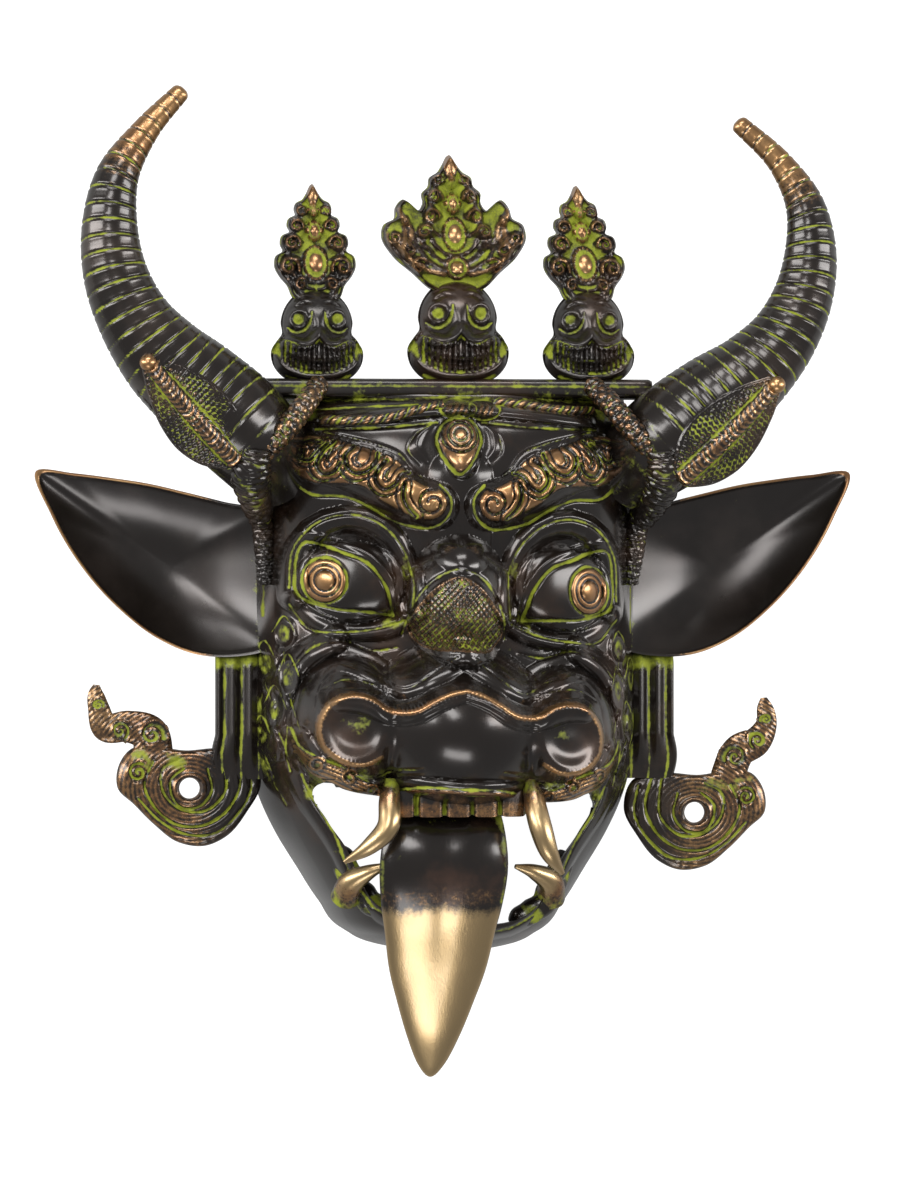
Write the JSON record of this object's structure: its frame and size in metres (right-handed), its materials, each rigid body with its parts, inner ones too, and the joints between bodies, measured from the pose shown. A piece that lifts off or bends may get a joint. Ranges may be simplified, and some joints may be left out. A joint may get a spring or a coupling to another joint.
{
  "type": "yamantaka mask",
  "caption": "Hollow cast mask of a bull-faced protector with curved horns, leaf ears, skull crown, hanging tongue and scrolled ribbons.",
  "frame": {"origin": "under the middle of the whole mask, on the surface it lies on", "axes": "+Z out of the face, +Y from the chin to the crown, +X to the right of somebody looking at the face"},
  "size_m": [0.412, 0.492, 0.1329],
  "materials": {
    "brass": "dark glossy patina with green in the grooves and rubbed copper-brown ridges; bare polished brass on fangs and tongue tip"
  },
  "bodies": {
    "root": {"mask": "brass"}
  },
  "joints": []
}
